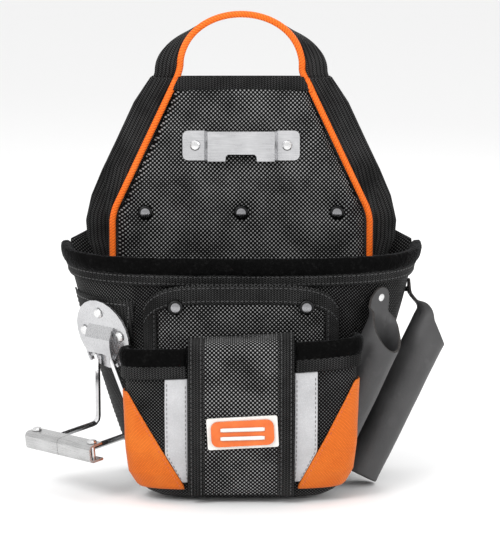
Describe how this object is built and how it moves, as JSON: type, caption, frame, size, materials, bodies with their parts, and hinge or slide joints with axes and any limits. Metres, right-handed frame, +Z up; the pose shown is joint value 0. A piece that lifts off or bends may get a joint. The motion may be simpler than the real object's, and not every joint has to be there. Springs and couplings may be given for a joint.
{
  "type": "electrician tool pouch",
  "caption": "Belt tool pouch with a padded back and grab handle, stacked pockets, a swinging hammer loop, leather driver tubes and a steel tape clip.",
  "frame": {"origin": "centre of the main pocket's flat floor, on the ground", "axes": "+Z up, +Y towards the wearer's hip, +X to the right seen from the front"},
  "size_m": [0.2996, 0.1471, 0.3358],
  "materials": {
    "badge": "soft white with an orange inset",
    "ballistic_fabric": "coarse black ballistic weave",
    "bright_steel": "bright zinc plate",
    "fleece": "black plush pile",
    "foam": "closed-cell foam, matt",
    "gunmetal_rivet": "dark grey satin",
    "herringbone_webbing": "black herringbone webbing",
    "hip_fabric": "padded black mesh fabric",
    "lining_fabric": "plain black lining",
    "orange_cord": "smooth orange piping",
    "orange_fabric": "coarse orange weave",
    "reflective_tape": "light grey reflective tape",
    "satin_steel": "satin",
    "steel_rivet": "bright",
    "stiffener_board": "matt sheet plastic",
    "tube_leather": "matt black leather"
  },
  "bodies": {
    "pouch": {"back_face": "ballistic_fabric", "back_foam": "foam", "back_hip_panel": "hip_fabric", "back_rear_panel": "ballistic_fabric", "back_rivet_1": "gunmetal_rivet", "back_rivet_2": "gunmetal_rivet", "back_rivet_3": "gunmetal_rivet", "back_stiffener": "stiffener_board", "back_top_hem": "herringbone_webbing", "belt_loop": "herringbone_webbing", "centre_strap": "ballistic_fabric", "clip_rivet_1": "steel_rivet", "clip_rivet_2": "steel_rivet", "corner_panel_left": "orange_fabric", "corner_panel_right": "orange_fabric", "front_binding_left": "herringbone_webbing", "front_binding_right": "herringbone_webbing", "front_fleece_left": "fleece", "front_fleece_right": "fleece", "front_pocket": "ballistic_fabric", "hammer_patch": "ballistic_fabric", "hammer_plate": "bright_steel", "hammer_rivet_1": "steel_rivet", "hammer_rivet_2": "steel_rivet", "hammer_rivet_3": "steel_rivet", "label_badge": "badge", "label_patch": "ballistic_fabric", "main_binding": "herringbone_webbing", "main_fleece": "fleece", "main_lining": "lining_fabric", "main_pocket": "ballistic_fabric", "middle_binding": "herringbone_webbing", "middle_pocket": "ballistic_fabric", "middle_rivet_1": "gunmetal_rivet", "middle_rivet_2": "gunmetal_rivet", "piping_left": "orange_cord", "piping_right": "orange_cord", "reflective_tape_left": "reflective_tape", "reflective_tape_right": "reflective_tape", "strap_binding_left": "herringbone_webbing", "strap_binding_right": "herringbone_webbing", "tape_clip": "satin_steel", "tube_rivet_front": "steel_rivet", "tube_rivet_rear": "steel_rivet", "wing_left": "herringbone_webbing", "wing_right": "herringbone_webbing"},
    "handle": {"handle_webbing": "herringbone_webbing", "handle_cord": "orange_cord"},
    "hammer_loop": {"hammer_wire": "bright_steel", "hammer_channel_left": "bright_steel", "hammer_channel_right": "bright_steel", "hammer_channel_rivet_left": "steel_rivet", "hammer_channel_rivet_right": "steel_rivet"},
    "front_tube": {"tube_front": "tube_leather"},
    "rear_tube": {"tube_rear": "tube_leather"}
  },
  "joints": [
    {"name": "handle_fold", "type": "hinge", "parent": "pouch", "child": "handle", "pos_m": [0, 0.037, 0.291], "axis": [1, 0, 0], "range_deg": [-55, 55]},
    {"name": "hammer_swing", "type": "hinge", "parent": "pouch", "child": "hammer_loop", "pos_m": [-0.09782, -0.01748, 0.09569], "axis": [-0.7118, 0.7023, 0], "range_deg": [0, 85]},
    {"name": "front_tube_turn", "type": "hinge", "parent": "pouch", "child": "front_tube", "pos_m": [0.10061, -0.0271, 0.1385], "axis": [0.6909, -0.7135, -0.1169], "range_deg": [0, 3]},
    {"name": "rear_tube_turn", "type": "hinge", "parent": "pouch", "child": "rear_tube", "pos_m": [0.12858, 0.0173, 0.13711], "axis": [0.9988, 0.0095, 0.0489], "range_deg": [-4, 1]}
  ]
}
